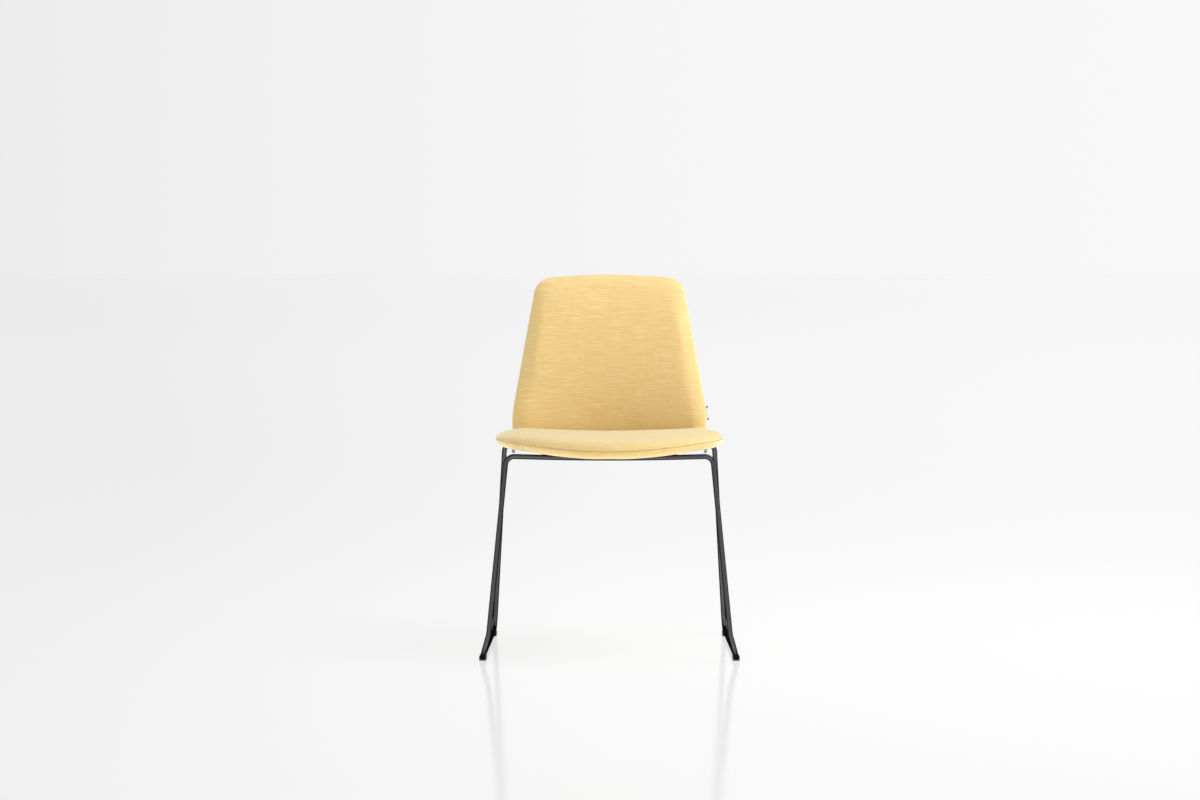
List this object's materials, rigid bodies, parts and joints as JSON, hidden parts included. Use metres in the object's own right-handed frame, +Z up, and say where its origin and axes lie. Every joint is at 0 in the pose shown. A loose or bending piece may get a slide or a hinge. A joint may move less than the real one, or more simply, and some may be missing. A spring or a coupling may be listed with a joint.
{
  "type": "sled base visitor chair",
  "caption": "Armless visitor chair: a padded plywood seat and back shell, seamed round its edge, on a closed loop sled frame of bent round rod with plastic glides",
  "frame": {"origin": "on the floor under the middle of the chair's bounding box", "axes": "+X to the right as seen from in front, the chair faces -Y, +Z up"},
  "size_m": [0.5558, 0.4982, 0.8204],
  "materials": {
    "frame": "satin black powder coat",
    "fabric": "woven yellow melange",
    "foam": "cut polyurethane foam",
    "plywood": "moulded beech plywood",
    "zinc": "zinc plated",
    "plastic": "black nylon",
    "rubber": "black rubber",
    "tape": "plain woven tape"
  },
  "bodies": {
    "root": {"sled_frame": "frame", "seat_rail_left": "frame", "seat_rail_right": "frame", "plywood_shell": "plywood", "seat_cover": "fabric", "back_cover": "fabric", "base_pad": "fabric", "rear_pad": "fabric", "seat_foam": "foam", "back_foam": "foam", "mounting_screws": "zinc", "washers": "zinc", "tee_nuts": "zinc", "spacer_sleeves": "plastic", "glide_front_left": "plastic", "glide_front_right": "plastic", "glide_rear_left": "plastic", "glide_rear_right": "plastic", "seat_buffer_left": "rubber", "seat_buffer_right": "rubber", "side_tab": "tape"}
  },
  "joints": []
}
